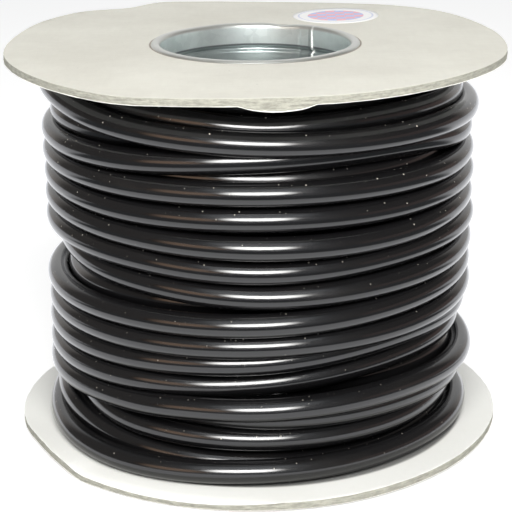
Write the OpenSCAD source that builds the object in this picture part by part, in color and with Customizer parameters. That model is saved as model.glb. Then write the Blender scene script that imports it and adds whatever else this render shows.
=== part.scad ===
// Reel of round flexible cable: two grey-board flanges faced with paper, a
// rolled sheet-steel barrel curled over them, and cable wound level in layers.
// +Z is the spool axis. The origin is at the bottom centre, on the plane that
// the lower lip of the barrel rests on.

/* [Flanges] */
// Diameter of each flange
flange_d = 200; // [190:1:240]
// Thickness of the grey board of a flange
board_t = 2.6; // [2:0.1:5]
// Thickness of the paper glued to the outer face of a board
facing_t = 0.25; // [0.15:0.05:0.5]
// Thickness of the white paper glued to the inner face of a board
liner_t = 0.2; // [0.15:0.05:0.5]
// Clear width between the two flanges, which the cable fills
traverse = 150.3; // [100:0.1:200]
// Clearance between the barrel and the hole of a flange
hub_fit = 0.15; // [0.1:0.05:0.5]

/* [Barrel] */
// Inside diameter of the barrel, which a spindle goes through
bore_d = 76; // [70:0.5:84]
// Thickness of the sheet steel
sheet_t = 0.5; // [0.3:0.05:0.8]
// Bend radius of the lip, to the middle of the sheet
lip_bend_r = 1.25; // [1:0.05:2]
// Width of the flat crown of the lip
lip_flat_w = 0.8; // [0.4:0.1:3]
// How far below the face of the flange the lip starts to bend
lip_drop = 0.5; // [0.3:0.05:0.6]
// Depth of the swaged bead's middle below the outer face of the flange
bead_inset = 9.55; // [8.5:0.05:16]
// Radius of the bead, to the middle of the sheet
bead_r = 1.0; // [0.8:0.05:1.6]
// How far round the bead bulges on each side of its middle, in degrees
bead_turn = 75; // [50:1:85]
// Width of the lock seam along the barrel
seam_w = 8.5; // [4:0.5:14]
// Height of the lock seam on the outside of the barrel
seam_out = 0.6; // [0.3:0.05:1]
// Height of the lock seam on the inside of the barrel
seam_in = 0.15; // [0.1:0.01:0.2]
// Direction of the lock seam, in degrees from +X
seam_at = 54; // [0:1:359]

/* [Core tube] */
// Wall of the paper tube that the barrel lines
tube_wall = 4; // [3:0.1:6]
// Clearance between the barrel and the paper tube
tube_fit = 0.2; // [0.1:0.05:0.4]

/* [Cable] */
// Outside diameter of the cable
cable_d = 9.2; // [7:0.1:11]
// Number of layers of cable on the drum
layers = 5; // [3:1:5]
// Rise from one layer to the next, as a share of the cable's diameter
layer_pack = 0.95; // [0.87:0.01:1]
// Smallest gap that is left between neighbouring turns of the outer layer
turn_gap = 0.45; // [0.42:0.01:1.5]
// Gap between the cable and what it lies against
lay_gap = 0.3; // [0.3:0.05:0.6]
// Length of the bared straight end of the cable
end_len = 22; // [14:1:26]
// Wall of the cable's insulation
sheath_wall = 1.4; // [1:0.1:1.8]
// Clearance between the copper and the insulation
strand_fit = 0.06; // [0.03:0.01:0.15]

/* [Label] */
// Diameter of the round label
label_d = 37; // [20:1:50]
// Thickness of the label
label_t = 0.1; // [0.05:0.05:0.3]
// Distance of the label's centre from the spool axis
label_r = 69.3; // [64:0.1:71]
// Direction of the label's centre, in degrees from +X
label_at = 59.5; // [0:0.5:359]

/* [Hidden] */
$fn = 96;

// Small overlap that lets a cut run clear of the face it starts from.
cut = 1;

// --- Heights, from the resting plane up ---
half_t = sheet_t / 2;
flange_t = facing_t + board_t + liner_t;
// How far the crown of a lip stands above the face of its flange.
lip_h = lip_bend_r - lip_drop + half_t;
reel_h = 2 * (lip_h + flange_t) + traverse;
mid_z = reel_h / 2;
// Outer and inner faces of the flanges, measured from the middle of the reel.
face_z = traverse / 2 + flange_t;
inner_z = traverse / 2;

// --- Barrel line: the middle of the sheet, offset outwards by off ---
wall_r = bore_d / 2 + half_t;
arc_steps = 6;
// The fillets of the bead leave this radius where the paper tube follows them.
least_fillet = 0.2;
bead_fillet = half_t + tube_fit + least_fillet;
bead_span = bead_fillet + bead_r;
bead_z = face_z - bead_inset;
bead_half_h = bead_span * sin(bead_turn);
bead_centre_r = wall_r + bead_fillet - bead_span * cos(bead_turn);
// The lip's edge touches the face of the flange at this angle.
lip_turn = asin(lip_drop / (lip_bend_r - half_t));
lip_z = face_z - lip_drop;
// Hole of a flange, clear of the curl where that passes the flange's face.
curl_under = lip_bend_r - half_t;
hub_r = wall_r + lip_bend_r - sqrt(curl_under ^ 2 - lip_drop ^ 2) + hub_fit;

function arc(r, z, radius, from, to) =
    [for (i = [0 : arc_steps])
        let (a = from + (to - from) * i / arc_steps)
        [r + radius * cos(a), z + radius * sin(a)]];

// A bead is a fillet, a bulge and a fillet, each tangent to the next.
function bead_line(off) = concat(
    arc(wall_r + bead_fillet, bead_z - bead_half_h, bead_fillet - off, 180, 180 - bead_turn),
    arc(bead_centre_r, bead_z, bead_r + off, -bead_turn, bead_turn),
    arc(wall_r + bead_fillet, bead_z + bead_half_h, bead_fillet - off, 180 + bead_turn, 180)
);

// A lip bends outwards, runs flat over the crown and curls down on to the flange.
function lip_line(off) = concat(
    arc(wall_r + lip_bend_r, lip_z, lip_bend_r - off, 180, 90),
    arc(wall_r + lip_bend_r + lip_flat_w, lip_z, lip_bend_r - off, 90, lip_turn)
);

function upside_down(line) =
    [for (i = [len(line) - 1 : -1 : 0]) [line[i][0], -line[i][1]]];
function backwards(line) = [for (i = [len(line) - 1 : -1 : 0]) line[i]];
// The whole line, from the bottom up, of a half that starts at the middle.
function whole(half) = concat(upside_down(half), half);

// --- Lock seam: the strip along the inside stops where the lips start ---
seam_angle = seam_w / wall_r * 180 / PI;
key_angle = (seam_w + 2 * tube_fit) / wall_r * 180 / PI;
// The folded seam outside stops short of the beads.
seam_end_gap = 1.5;
seam_half_h = bead_z - bead_half_h - seam_end_gap;

// --- Cable: round each turn its own lay, and a step to the next at the back ---
cable_r = cable_d / 2;
tube_r = bore_d / 2 + sheet_t + tube_fit + tube_wall;
layer_rise = layer_pack * cable_d;
wind_r = tube_r + cable_r + (layers - 1) * layer_rise;
turns = floor((traverse - 2 * lay_gap + turn_gap) / (cable_d + turn_gap));
pitch = (traverse - 2 * lay_gap - cable_d) / (turns - 1);
top_turn_z = inner_z - lay_gap - cable_r;

sides = 6;
rings_per_turn = 24;
// A hexagon of the same area as the round cable, with a corner outwards.
corner_r = cable_r * sqrt(PI / (sides / 2 * sin(360 / sides)));
section_half_h = corner_r * cos(180 / sides);
// A tube round radius r cuts its corners between rings, so what lies under it
// keeps below this radius.
function under(r) = (r - corner_r) * cos(180 / rings_per_turn) - lay_gap;

// The back of the reel is at +Y. Angles along the cable grow anticlockwise,
// and a turn's lay is given at the left, the front and the right of the reel.
back = 90;
places = [105, 180, 255];
step_arc = 140;
// The cable climbs out of the layer below along this arc, past the back.
climb_from = 26;
climb_arc = 150;
climb_depth = cable_d + turn_gap;
// The cable ends this far before the back, clear of the step there.
tail_arc = 66;

// A hand-wound layer is uneven. From the top turn down, how far each turn lies
// above an even lay, and how far it is pressed in below the others.
turn_lift = [
    [0, -3, -3.5], [0.8, -2.2, -3], [-2, -1.4, -2.2], [-1.2, -1, -1.5], [-0.4, -1, -0.7],
    [0.4, -1.4, 0], [1.2, -1.2, 0.8], [2, -0.6, 1.5], [-3, 0.2, 2.3], [-2.2, 1, 3.1],
    [-1.5, 1.8, 3.9], [-0.7, 2.6, 4.7], [0.1, 3.4, 5], [0.9, 4, 3.5], [0, 0.5, 0.5],
];
turn_sink = [
    [0, -1.5, 1.5], [-1, -1, -1], [0, 5, 1.5], [0, -1, 0], [0.5, 0, 0],
    [0, -1.5, 0], [0, 1, -0.5], [5.5, 1, 0], [0, -1.5, 0], [0, 0, 0],
    [0, 5, 2.5], [0, 8, 5.5], [0, -0.5, -1.5], [7, -0.5, 6], [-1.5, -1, 1.5],
];
function row(table, k) = table[min(k, len(table) - 1)];

// A turn lies as it was laid, but clear of the turn above it and with room left
// for the turns below.
least_pitch = 2 * section_half_h + turn_gap;
function lowest_z(k) = least_pitch * (turns - 1 - k) - top_turn_z;
function laid_z(k, p) = top_turn_z - pitch * k + row(turn_lift, k)[p];
function piled_z(k, p) =
    let (highest = k == 0 ? top_turn_z : piled_z(k - 1, p) - least_pitch)
    max(lowest_z(k), min(laid_z(k, p), highest));
turn_z = [for (k = [0 : turns - 1]) [for (p = [0 : 2]) piled_z(k, p)]];

function ease(x) = let (t = min(1, max(0, x))) (1 - cos(180 * t)) / 2;
function mix(low, high, a, from, to) = low + (high - low) * ease((a - from) / (to - from));
// A value t degrees into a turn, given at the three places. It comes up from
// first along one arc and goes on to last along another.
function round_turn(t, first, at, last, arc_in, arc_out) =
    t < places[0] ? mix(first, at[0], t, arc_in[0], arc_in[1])
    : t < places[1] ? mix(at[0], at[1], t, places[0], places[1])
    : t < places[2] ? mix(at[1], at[2], t, places[1], places[2])
    : mix(at[2], last, t, arc_out[0], arc_out[1]);

half_step = step_arc / 2;
step_in = [-half_step, half_step];
step_out = [360 - half_step, 360 + half_step];
// A pressed-in turn is back at its full height where the steps begin.
sink_in = [half_step, places[0]];
sink_out = [places[2], 360 - half_step];

function turn_of(a) = min(turns - 1, floor(a / 360));
function height_of(a) =
    let (k = turn_of(a))
    let (first = turn_z[max(0, k - 1)][k == 0 ? 0 : 2])
    let (last = turn_z[min(turns - 1, k + 1)][k == turns - 1 ? 2 : 0])
    round_turn(a - 360 * k, first, turn_z[k], last, step_in, step_out);
function sink_of(a) =
    let (k = turn_of(a))
    round_turn(a - 360 * k, 0, row(turn_sink, k), 0, sink_in, sink_out);
function climb_of(a) = climb_depth * (1 - ease((a - climb_from) / climb_arc));
function lay_point(a) =
    let (r = wind_r - sink_of(a) - climb_of(a))
    [r * cos(back + a), r * sin(back + a), height_of(a)];

// The layers under the outer one are plain, with a seat for each turn that is
// pressed in further than this.
shallow_sink = 1.5;
core_r = under(wind_r - shallow_sink);
deep_turns = [for (k = [0 : turns - 1]) if (max(row(turn_sink, k)) > shallow_sink) k];

function unit(v) = v / norm(v);
function along(a) = unit(lay_point(a + 0.5) - lay_point(a - 0.5));
function flat_along(a) = [-sin(back + a), cos(back + a), 0];

first_a = climb_from;
last_a = 360 * turns - tail_arc;
loops = (last_a - first_a) / 360;
ring_step = 360 / rings_per_turn;
// Both ends run straight for one diameter, square to what they meet.
start_face = lay_point(first_a);
start_way = flat_along(first_a);
end_way = flat_along(last_a);
end_start = lay_point(last_a);
end_face = end_start + cable_d * end_way;
// Angle of the winding beside the far end of the first straight stretch.
lead_a = first_a + atan(cable_d / norm([start_face[0], start_face[1]]));

// The middle line of the winding, one point for each ring, and its directions.
// Rings stand at the same angles in every loop.
first_ring = ceil(lead_a / ring_step + 0.5);
last_ring = floor(last_a / ring_step - 0.5);
lay_angles = [for (i = [first_ring : last_ring]) i * ring_step];
middle_line = concat(
    [start_face, start_face + cable_d * start_way],
    [for (a = lay_angles) lay_point(a)],
    [end_start, end_face]
);
ring_ways = concat(
    [start_way, start_way],
    [for (a = lay_angles) along(a)],
    [end_way, end_way]
);

function ring(i) =
    let (way = ring_ways[i])
    let (out = [middle_line[i][0], middle_line[i][1], 0])
    let (side = unit(out - (out * way) * way))
    let (up = cross(way, side))
    [for (k = [0 : sides - 1])
        middle_line[i] + corner_r * (cos(360 * k / sides) * side + sin(360 * k / sides) * up)];

rings = [for (i = [0 : len(middle_line) - 1]) ring(i)];

// Turns step and rise side by side, so the gap is measured from each section
// to the sections about one loop further along, corners to edges both ways.
near_rings = 3;
function to_edge(p, a, b) =
    let (t = min(1, max(0, (p - a) * (b - a) / ((b - a) * (b - a)))))
    norm(p - a - t * (b - a));
function corners_to_edges(i, j) = min([
    for (p = rings[i])
        for (k = [0 : sides - 1]) to_edge(p, rings[j][k], rings[j][(k + 1) % sides])
]);
gaps = [
    for (i = [0 : len(rings) - 1])
        for (j = [i + rings_per_turn - near_rings : i + rings_per_turn + near_rings])
            if (j < len(rings)) min(corners_to_edges(i, j), corners_to_edges(j, i))
];
echo(turns = turns, loops = loops, pitch = pitch);
echo(least_gap_to_itself = min(gaps));

// --- Bared end: nineteen strands, one in the middle and two rings round it ---
bore_r = cable_r - sheath_wall;
strand_rings = 2;
strand_gap = 0.04;
strand_pitch = (bore_r - strand_fit + strand_gap / 2) / (strand_rings + 0.5);
strand_r = (strand_pitch - strand_gap) / 2;

// --- Sheet-metal pieces ---
module barrel() {
    color("silver")
    translate([0, 0, mid_z])
    union() {
        rotate_extrude() sheet_profile();
        seam_sector(seam_angle) seam_inside_profile();
        seam_sector(seam_angle) seam_outside_profile();
    }
}

// The sheet between its inner and outer skins, from lip to lip.
module sheet_profile() {
    outer = whole(concat(bead_line(half_t), lip_line(half_t)));
    inner = whole(concat(bead_line(-half_t), lip_line(-half_t)));
    polygon(concat(outer, backwards(inner)));
}

// The inner fold of the seam follows the wall and the beads up to the lips.
module seam_inside_profile() {
    deep = half_t + seam_in;
    inner = whole(concat(bead_line(-deep), [[wall_r - deep, lip_z]]));
    polygon(concat([[wall_r, -lip_z]], inner, [[wall_r, lip_z]], whole(bead_line(0))));
}

module seam_outside_profile() {
    translate([wall_r, -seam_half_h]) square([half_t + seam_out, 2 * seam_half_h]);
}

module seam_sector(width) {
    rotate([0, 0, seam_at - width / 2]) rotate_extrude(angle = width) children();
}

// The paper tube bears on both flanges, and the beads are swaged into it.
module core_tube() {
    line = whole(bead_line(half_t + tube_fit));
    inner_r = wall_r + half_t + tube_fit;
    color("tan")
    translate([0, 0, mid_z])
    difference() {
        rotate_extrude()
            polygon(concat(
                [[inner_r, -inner_z]], line, [[inner_r, inner_z]],
                [[tube_r, inner_z], [tube_r, -inner_z]]
            ));
        seam_sector(key_angle) seam_key_profile();
    }
}

// Keyway for the outer fold of the seam, with clearance all round.
module seam_key_profile() {
    depth = half_t + seam_out + tube_fit;
    half_h = seam_half_h + tube_fit;
    translate([wall_r - cut, -half_h]) square([depth + cut, 2 * half_h]);
}

// --- Flanges ---
// A disc with the hub hole, from height z above the resting plane.
module flange_disc(z, thick) {
    translate([0, 0, z])
    difference() {
        cylinder(h = thick, d = flange_d);
        translate([0, 0, -cut]) cylinder(h = thick + 2 * cut, r = hub_r);
    }
}

module upper_flange_board() {
    color("lightgray") flange_disc(mid_z + inner_z + liner_t, board_t);
}

module upper_flange_facing() {
    color("antiquewhite") flange_disc(mid_z + face_z - facing_t, facing_t);
}

module upper_flange_liner() {
    color("ivory") flange_disc(mid_z + inner_z, liner_t);
}

module lower_flange_board() {
    color("lightgray") flange_disc(mid_z - inner_z - liner_t - board_t, board_t);
}

module lower_flange_facing() {
    color("antiquewhite") flange_disc(mid_z - face_z, facing_t);
}

module lower_flange_liner() {
    color("ivory") flange_disc(mid_z - inner_z - liner_t, liner_t);
}

// --- Cable ---
// The layers under the outer one, with the seats of the pressed-in turns and
// the pocket that the cable climbs out of.
module inner_windings() {
    color("dimgray")
    translate([0, 0, mid_z])
    difference() {
        rotate_extrude()
            translate([tube_r, -inner_z]) square([core_r - tube_r, 2 * inner_z]);
        climb_pocket();
        for (k = deep_turns) seat(k);
    }
}

// A groove in the core, down to radius floor_r, from height low to high.
module groove(from, arc, floor_r, low, high) {
    rotate([0, 0, back + from])
        rotate_extrude(angle = arc)
            translate([floor_r, low]) square([core_r - floor_r + cut, high - low]);
}

// Its end wall stands square to the cable's start, which meets it face to face.
module climb_pocket() {
    low = min(turn_z[0][0], turn_z[0][1]) - section_half_h - lay_gap;
    groove(climb_from, climb_arc, under(wind_r - climb_depth), low, inner_z + cut);
}

module seat(k) {
    low = min(turn_z[k]) - section_half_h - lay_gap;
    high = max(turn_z[k]) + section_half_h + lay_gap;
    groove(half_step, 360 - step_arc, under(wind_r - max(row(turn_sink, k))), low, high);
}

// One unbroken tube through all the loops, closed by a flat face at each end.
module outer_winding() {
    last = len(rings) - 1;
    sleeve = [
        for (i = [0 : last - 1])
            for (k = [0 : sides - 1])
                let (a = i * sides + k, b = i * sides + (k + 1) % sides)
                each [[a, a + sides, b], [b, a + sides, b + sides]]
    ];
    start_cap = [for (k = [1 : sides - 2]) [0, k, k + 1]];
    end_cap = [for (k = [1 : sides - 2]) [last * sides, last * sides + k + 1, last * sides + k]];
    color("black")
    translate([0, 0, mid_z])
    polyhedron([for (r = rings) each r], concat(sleeve, start_cap, end_cap));
}

// Puts a child that runs along +X where the wound cable ends.
module at_cable_end() {
    translate(end_face + [0, 0, mid_z])
        rotate([0, 0, atan2(end_way[1], end_way[0])])
            children();
}

module rod(r, length) {
    rotate([0, 90, 0]) cylinder(h = length, r = r);
}

module cable_end_sheath() {
    color("black")
    at_cable_end()
    difference() {
        rod(cable_r, end_len);
        translate([-cut, 0, 0]) rod(bore_r, end_len + 2 * cut);
    }
}

module copper_strands() {
    color("peru")
    at_cable_end() {
        rod(strand_r, end_len);
        for (n = [1 : strand_rings])
            for (k = [0 : 6 * n - 1])
                rotate([60 * k / n, 0, 0])
                    translate([0, 0, n * strand_pitch]) rod(strand_r, end_len);
    }
}

// --- Label on the upper face ---
module round_label() {
    color("white")
    translate([label_r * cos(label_at), label_r * sin(label_at), mid_z + face_z])
        cylinder(h = label_t, d = label_d);
}

barrel();
core_tube();
upper_flange_board();
upper_flange_facing();
upper_flange_liner();
lower_flange_board();
lower_flange_facing();
lower_flange_liner();
inner_windings();
outer_winding();
cable_end_sheath();
copper_strands();
round_label();
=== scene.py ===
# %% [markdown]
# # A reel of black cable
# Two paper-faced board flanges sit on a rolled zinc barrel, and glossy black cable fills the
# drum between them, fifteen loops to a layer. The solids of model.glb are loaded first, as a
# frame that never moves. Every piece made below is written in metres in that same frame, so each
# one lands where the construction says without any fitting. Heights that the pieces share
# with the solids are read from those solids, so they are never typed twice.

# %% Load the frame
import math
import bmesh
import bpy
import numpy as np
from mathutils import Matrix, Vector, noise


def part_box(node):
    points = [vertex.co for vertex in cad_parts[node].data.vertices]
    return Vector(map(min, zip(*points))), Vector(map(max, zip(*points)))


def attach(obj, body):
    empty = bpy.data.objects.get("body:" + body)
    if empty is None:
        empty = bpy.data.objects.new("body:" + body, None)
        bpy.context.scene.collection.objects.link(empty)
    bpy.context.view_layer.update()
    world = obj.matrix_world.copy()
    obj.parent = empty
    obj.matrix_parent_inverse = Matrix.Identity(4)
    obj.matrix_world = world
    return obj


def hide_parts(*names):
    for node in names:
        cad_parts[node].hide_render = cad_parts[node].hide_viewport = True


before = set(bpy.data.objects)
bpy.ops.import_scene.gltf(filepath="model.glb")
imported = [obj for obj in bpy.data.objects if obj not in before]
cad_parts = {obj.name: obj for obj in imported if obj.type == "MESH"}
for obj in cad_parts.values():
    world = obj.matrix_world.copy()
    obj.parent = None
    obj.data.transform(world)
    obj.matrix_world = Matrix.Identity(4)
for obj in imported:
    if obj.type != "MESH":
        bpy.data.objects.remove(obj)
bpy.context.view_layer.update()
MM = 0.001


def levels(node):
    """Lowest and highest level of a solid from model.glb, in mm."""
    lowest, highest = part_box(node)
    return round(lowest[2] / MM, 2), round(highest[2] / MM, 2)


REEL_HEIGHT = levels("barrel")[1]
MIDDLE = REEL_HEIGHT / 2
LOWER_FACE, LOWER_INNER = levels("lower_flange_facing")[0], levels("lower_flange_liner")[1]
UPPER_INNER, UPPER_FACE = levels("upper_flange_liner")[0], levels("upper_flange_facing")[1]
print("frame nodes:", sorted(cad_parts))
print("drum from", LOWER_INNER, "to", UPPER_INNER, "mm, reel", REEL_HEIGHT, "mm high")

# %% [markdown]
# ## The camera
# A long lens about two thirds of a metre away looks down on the reel at about eighteen
# degrees. It is turned by a hair to the right and rolled by half a degree, as a hand-held
# camera is. The order of the three turns matters: the roll is nearest to the lens, then
# the tilt, then the turn about the upright axis.

# %% Camera
LOOKS_DOWN, ROLLED, TURNED = 18.19, -0.51, -0.28  # degrees
CAMERA_AT = (-0.00367, -0.6504, 0.2817)
tilt = Matrix.Rotation(math.radians(90 - LOOKS_DOWN), 4, "X")
roll = Matrix.Rotation(math.radians(ROLLED), 4, "Z")
turn = Matrix.Rotation(math.radians(TURNED), 4, "Z")
lens = bpy.data.cameras.new("camera")
lens.sensor_width, lens.lens = 36, 115.83
lens.clip_start, lens.clip_end = 0.01, 20
camera = bpy.data.objects.new("camera", lens)
camera.matrix_world = Matrix.Translation(CAMERA_AT) @ turn @ tilt @ roll
bpy.context.scene.collection.objects.link(camera)
bpy.context.scene.camera = camera
bpy.context.scene.view_settings.view_transform = "Standard"
print("camera looks down", LOOKS_DOWN, "degrees")

# %% [markdown]
# ## Small helpers for node trees
# A node graph is easier to read when one line makes one node. `put` adds a node, sets its
# options and fills its inputs, linking an input when it is given another node's socket.
# The same helper serves shader trees and geometry trees. The others are the sums that every
# mask below is made from.

# %% Helpers for nodes


def put(tree, kind, ins=None, **options):
    node = tree.nodes.new(kind)
    for key, value in options.items():
        setattr(node, key, value)
    for key, value in (ins or {}).items():
        if isinstance(value, bpy.types.NodeSocket):
            tree.links.new(value, node.inputs[key])
        else:
            node.inputs[key].default_value = value
    return node


def join(tree, socket, target):
    tree.links.new(socket, target)


def calc(tree, operation, *values):
    ins = dict(enumerate(values))
    return put(tree, "ShaderNodeMath", ins, operation=operation).outputs[0]


def times(tree, first, *more):
    """Product of two or more values."""
    for factor in more:
        first = calc(tree, "MULTIPLY", first, factor)
    return first


def apart(tree, value, place):
    """How far a value is from a place, either way."""
    return calc(tree, "ABSOLUTE", calc(tree, "SUBTRACT", value, place))


def clamp_range(tree, value, low, high, to_low=0.0, to_high=1.0):
    """A soft step: `to_low` where the value is at `low`, `to_high` where it is at `high`."""
    ins = {0: value, 1: low, 2: high, 3: to_low, 4: to_high}
    return put(tree, "ShaderNodeMapRange", ins, interpolation_type="SMOOTHSTEP").outputs[0]


# %% [markdown]
# ## Small helpers for patterns
# A pattern starts from a place on the piece, which is stretched or cut down to one of its
# coordinates. It is filled with a cloud of noise, and ends as a mix of two colours or a
# bump. Naming these five or six steps keeps each finish down to what is special about it.

# %% Helpers for patterns


def blend(tree, factor, a, b):
    mix = put(tree, "ShaderNodeMix", {0: factor, 6: a, 7: b}, data_type="RGBA")
    return mix.outputs[2]


def stretch(tree, vector, scale, offset=(0, 0, 0)):
    ins = {"Vector": vector, "Scale": scale, "Location": offset}
    return put(tree, "ShaderNodeMapping", ins).outputs[0]


def coordinates(tree, vector):
    return put(tree, "ShaderNodeSeparateXYZ", {0: vector}).outputs


def length_of(tree, vector):
    return put(tree, "ShaderNodeVectorMath", {0: vector}, operation="LENGTH").outputs["Value"]


def cloud(tree, vector, scale, detail=4.0, rough=0.55):
    ins = {"Vector": vector, "Scale": scale, "Detail": detail, "Roughness": rough}
    return put(tree, "ShaderNodeTexNoise", ins).outputs[0]


def bump(tree, height, depth):
    return put(tree, "ShaderNodeBump", {"Height": height, "Distance": depth}).outputs[0]


# %% [markdown]
# ## Helpers for materials and meshes
# Each finish starts from one Principled shader, whose plain numbers are set on its own
# sockets. `new_piece` turns arrays of points and faces into an object at the origin, so
# that a pattern on Object coordinates stays put when the part is exported. Cable and rims
# are both drawn as a few places with a smooth line through them, like a lath bent round
# nails, so the function for that line comes here too.

# %% Helpers for materials and meshes


def finish(name, **sockets):
    made = bpy.data.materials.new(name)
    made.use_nodes = True
    shader = made.node_tree.nodes["Principled BSDF"]
    for key, value in sockets.items():
        shader.inputs[key.replace("_", " ")].default_value = value
    place = put(made.node_tree, "ShaderNodeTexCoord").outputs
    return made, made.node_tree, shader.inputs, place


def new_piece(name, points, faces, material, smooth=True):
    mesh = bpy.data.meshes.new(name)
    mesh.from_pydata([tuple(p) for p in points], [], [tuple(f) for f in faces])
    mesh.validate()
    mesh.materials.append(material)
    mesh.polygons.foreach_set("use_smooth", [smooth] * len(mesh.polygons))
    piece = bpy.data.objects.new(name, mesh)
    bpy.context.scene.collection.objects.link(piece)
    return piece


def smooth_through(keys, at, period=None):
    """A smooth line through (place, value) pairs, read at each place in `at`."""
    x, y = (np.array(v, float) for v in zip(*keys))
    if period:
        x = np.concatenate([x[-2:] - period, x, x[:2] + period])
        y = np.concatenate([y[-2:], y, y[:2]])
    slope = np.gradient(y, x)
    i = np.clip(np.searchsorted(x, at) - 1, 0, len(x) - 2)
    h = x[i + 1] - x[i]
    t = np.clip((at - x[i]) / h, 0, 1)
    return (
        (1 + 2 * t) * (1 - t) ** 2 * y[i]
        + t * (1 - t) ** 2 * h * slope[i]
        + t * t * (3 - 2 * t) * y[i + 1]
        + t * t * (t - 1) * h * slope[i + 1]
    )


# %% [markdown]
# ## Dust, an effect that several finishes share
# Grains of dust lie on the cable, and flecks of the same kind are in the papers. Such an
# effect is a shader node group with named inputs, built once and given its own values in
# each material. A group puts out only masks and heights: the shader itself stays outside.
# Dust is made of Voronoi cells: a draw per cell says whether it holds a grain, and another
# how big the grain is.

# %% Shared effect: dust


def effect(name, inputs, outputs):
    tree = bpy.data.node_groups.new(name, "ShaderNodeTree")
    for label, kind, value in inputs:
        socket = tree.interface.new_socket(label, in_out="INPUT", socket_type=kind)
        if value is not None:
            socket.default_value = value
    for label in outputs:
        tree.interface.new_socket(label, in_out="OUTPUT", socket_type="NodeSocketFloat")
    return tree, put(tree, "NodeGroupInput").outputs, put(tree, "NodeGroupOutput").inputs


def use_effect(tree, group, **values):
    return put(tree, "ShaderNodeGroup", values, node_tree=group).outputs


VECTOR, FLOAT = "NodeSocketVector", "NodeSocketFloat"

dust, given, result = effect(
    "dust_specks",
    [("Vector", VECTOR, None), ("Scale", FLOAT, 150.0), ("Size", FLOAT, 0.1), ("Share", FLOAT, 0.1)],
    ["Mask"],
)
cells = put(dust, "ShaderNodeTexVoronoi", {"Vector": given["Vector"], "Scale": given["Scale"]}).outputs
lot = put(dust, "ShaderNodeSeparateColor", {0: cells["Color"]}).outputs
inside = calc(dust, "LESS_THAN", cells["Distance"], times(dust, given["Size"], lot[1]))
chosen = calc(dust, "LESS_THAN", lot[0], given["Share"])
join(dust, times(dust, inside, chosen), result["Mask"])
print("shared effect:", dust.name)

# %% [markdown]
# ## Fibres, the other shared effect
# All the papers have fibres. Two clouds are drawn out along different directions and added,
# which reads as a felt of short hairs, and a much slower third cloud makes it denser in
# some places than in others. The tone is for the colour, and the height is for the bump.

# %% Shared effect: fibres
fibres, given, result = effect(
    "paper_fibres",
    [("Vector", VECTOR, None), ("Scale", FLOAT, 400.0), ("Contrast", FLOAT, 1.0)],
    ["Tone", "Height"],
)
by_scale = {0: given["Vector"], "Scale": given["Scale"]}
scaled = put(fibres, "ShaderNodeVectorMath", by_scale, operation="SCALE").outputs[0]
across = cloud(fibres, stretch(fibres, scaled, (1, 0.22, 1)), 1.0, 5, 0.7)
upright = cloud(fibres, stretch(fibres, scaled, (0.25, 1, 1), (9, 4, 0)), 1.0, 5, 0.7)
height = calc(fibres, "ADD", times(fibres, across, 0.5), times(fibres, upright, 0.5))
pulp = times(fibres, cloud(fibres, scaled, 0.06, 5, 0.6), 0.8)
tone = calc(fibres, "SUBTRACT", calc(fibres, "ADD", height, pulp), 0.9)
join(fibres, calc(fibres, "MULTIPLY_ADD", tone, given["Contrast"], 0.5), result["Tone"])
join(fibres, height, result["Height"])
print("shared effect:", fibres.name)

# %% [markdown]
# ## Black cable sheath
# The sheath is extruded PVC: almost black, quite glossy, with faint lines along its length
# from the die, soft rub marks, and a little pale dust. The lines follow the cable, so
# they read a UV map that runs in metres along the cable and once round it. Dust settles on
# what faces up and lies thickest on the upper turns. It comes in drifts, so a slow cloud
# thins it out in places.

# %% Finish: cable sheath
sheath_finish, tree, shader, place = finish("black_sheath", IOR=1.54)
spot = place["Object"]
run = stretch(tree, place["UV"], (1, 0.03, 1))
die_lines = cloud(tree, stretch(tree, run, (6, 2600, 1)), 1.0, 3, 0.5)
rubbed = clamp_range(tree, cloud(tree, stretch(tree, run, (14, 55, 1)), 1.0, 5, 0.62), 0.56, 0.78)
ripple = cloud(tree, stretch(tree, run, (22, 40, 1)), 1.0, 2, 0.4)

faces_up = clamp_range(tree, coordinates(tree, place["Normal"])[2], 0.1, 0.4)
high_up = clamp_range(tree, coordinates(tree, spot)[2], 0.09, 0.13, 0.3, 1.0)
drifts = clamp_range(tree, cloud(tree, spot, 38.0, 2), 0.40, 0.58, 0.3, 1.0)
grains = use_effect(tree, dust, Vector=spot, Scale=440.0, Size=0.15, Share=0.60)["Mask"]
specks = times(tree, grains, faces_up, high_up, drifts)
powder = use_effect(tree, dust, Vector=spot, Scale=420.0, Size=0.10, Share=0.05)["Mask"]
patches = clamp_range(tree, cloud(tree, spot, 26.0, 2), 0.58, 0.70)
dusty = calc(tree, "MAXIMUM", specks, times(tree, powder, patches))

black = blend(tree, rubbed, (0.0070, 0.0069, 0.0074, 1), (0.013, 0.0122, 0.0118, 1))
join(tree, blend(tree, dusty, black, (0.74, 0.69, 0.60, 1)), shader["Base Color"])
gloss = calc(tree, "MULTIPLY_ADD", rubbed, 0.10, 0.15)
join(tree, calc(tree, "MULTIPLY_ADD", dusty, 0.5, gloss), shader["Roughness"])
relief = calc(tree, "MULTIPLY_ADD", die_lines, 0.10, calc(tree, "MULTIPLY_ADD", dusty, 0.4, ripple))
join(tree, bump(tree, relief, 0.00005), shader["Normal"])
print("cable finish:", sheath_finish.name, "with", len(tree.nodes), "nodes")

# %% [markdown]
# ## Papers
# The flanges are faced with buff paper on the outside and white paper inside. Paper is
# matt with soft cloudy fibres and a few darker flecks. One function makes both, because
# they differ only in their two tones and in how strongly the fibres show.

# %% Finishes: papers


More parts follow.
